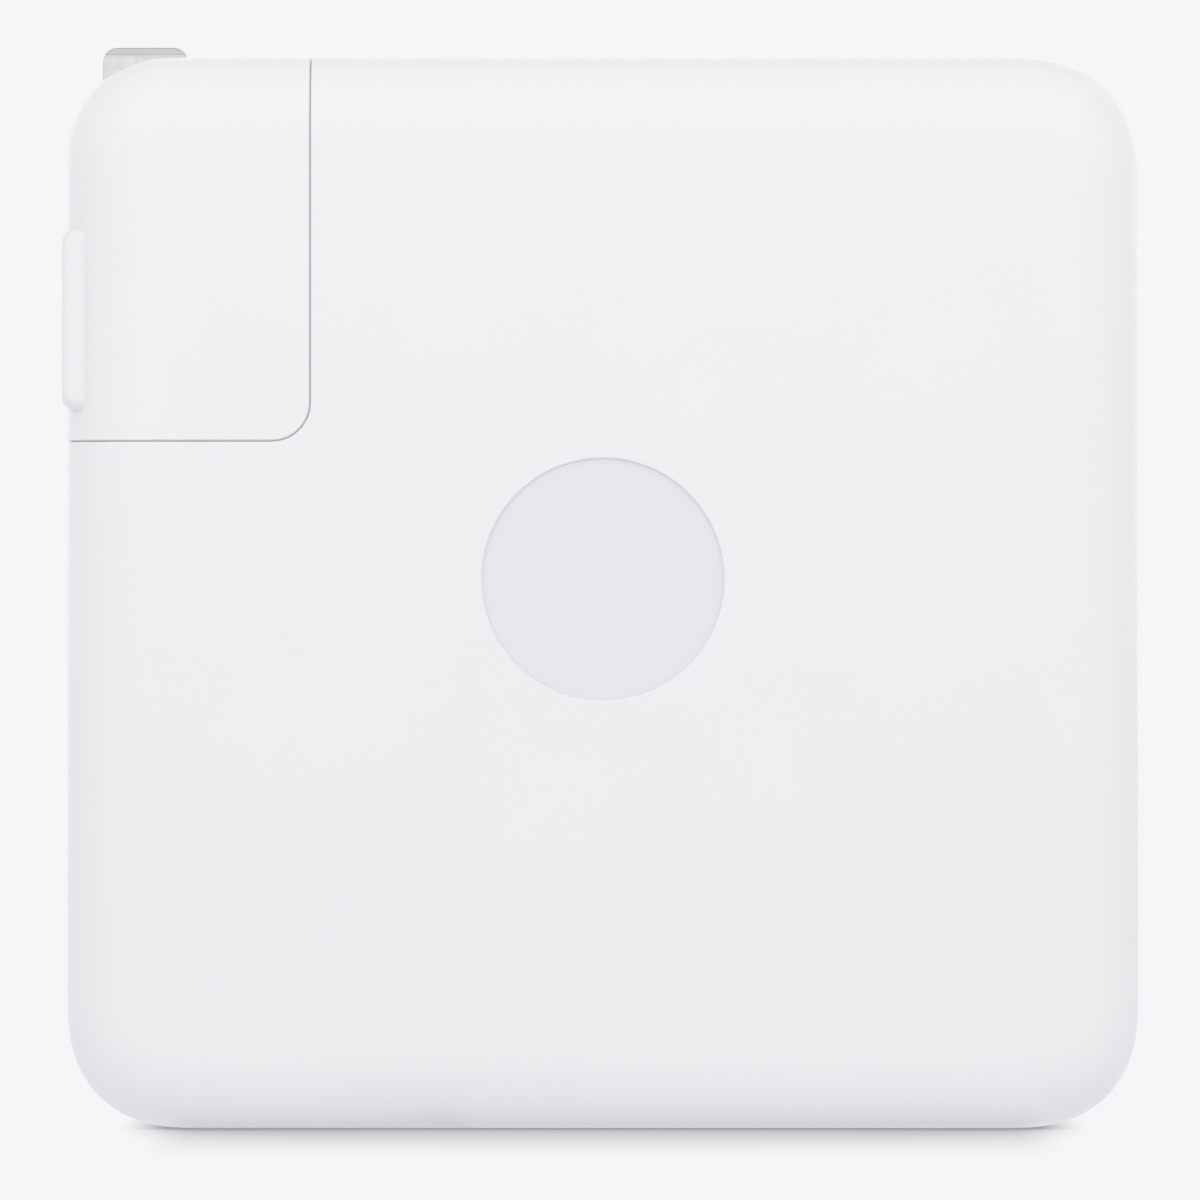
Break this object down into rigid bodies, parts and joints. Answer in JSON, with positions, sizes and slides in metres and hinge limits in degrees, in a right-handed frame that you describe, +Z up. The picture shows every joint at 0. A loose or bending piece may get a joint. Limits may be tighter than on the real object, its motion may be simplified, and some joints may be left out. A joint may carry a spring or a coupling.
{
  "type": "laptop power adapter",
  "caption": "Square white wall adapter for a laptop, with a lift-off corner plug that carries folding flat blades and a USB-C socket in the opposite side.",
  "frame": {"origin": "centre of the housing's lower side, on which the adapter stands", "axes": "+X to the right and +Z up as seen from the front, +Y from the front face to the rear; the plug fills the upper left corner and the USB-C socket opens to +X"},
  "size_m": [0.0805, 0.029, 0.0808],
  "materials": {
    "white_gloss": "gloss",
    "white_satin": "satin",
    "inlet_plastic": "satin",
    "nickel": "satin",
    "steel": "satin",
    "brass": "satin",
    "gold_plate": "polished",
    "copper": "satin",
    "taped_copper": "satin",
    "aluminium_sheet": "satin",
    "bare_can": "gloss",
    "sleeved_can": "satin",
    "ferrite": "matte",
    "blue_disc": "satin",
    "film_case": "satin",
    "fuse_case": "satin",
    "black_resin": "matte",
    "black_film": "satin",
    "circuit_board": "satin",
    "thermal_pad": "matte"
  },
  "bodies": {
    "housing": {"front_shell": "white_gloss", "rear_shell": "white_gloss", "front_insulator": "black_film", "rear_insulator": "black_film", "front_heat_spreader": "aluminium_sheet", "rear_heat_spreader": "aluminium_sheet", "front_thermal_pads": "thermal_pad", "rear_thermal_pads": "thermal_pad", "main_board": "circuit_board", "bulk_capacitors": "sleeved_can", "choke_core": "ferrite", "choke_windings": "copper", "line_capacitor": "film_case", "transformer_core": "ferrite", "transformer_winding": "taped_copper", "boost_inductor": "ferrite", "bridge_rectifier": "black_resin", "fuse": "fuse_case", "safety_capacitor": "blue_disc", "power_transistors": "black_resin", "control_chips": "black_resin", "optocoupler": "white_satin", "output_capacitors": "bare_can", "output_inductor": "ferrite", "port_board": "circuit_board", "port_board_pins": "brass", "port_shell": "steel", "port_tongue": "black_resin", "port_contacts": "gold_plate", "mains_inlet": "inlet_plastic", "mains_pins": "nickel", "mains_leads": "brass", "locking_stud": "nickel", "ground_strap": "copper"},
    "plug": {"plug_shell": "white_gloss", "stud_guide": "white_satin", "stud_clip": "steel", "plug_nose": "white_satin", "contact_sleeves": "brass", "contact_springs": "brass", "detent_spring": "steel", "drum_bearings": "white_satin"},
    "blades": {"blade_drum": "white_satin", "front_blade": "nickel", "rear_blade": "nickel"}
  },
  "joints": [
    {"name": "plug_slide", "type": "slide", "parent": "housing", "child": "plug", "axis": [0, 0, 1], "range_m": [0, 0.04]},
    {"name": "blade_fold", "type": "hinge", "parent": "plug", "child": "blades", "pos_m": [-0.03422, 0, 0.05835], "axis": [0, -1, 0], "range_deg": [0, 90]}
  ]
}
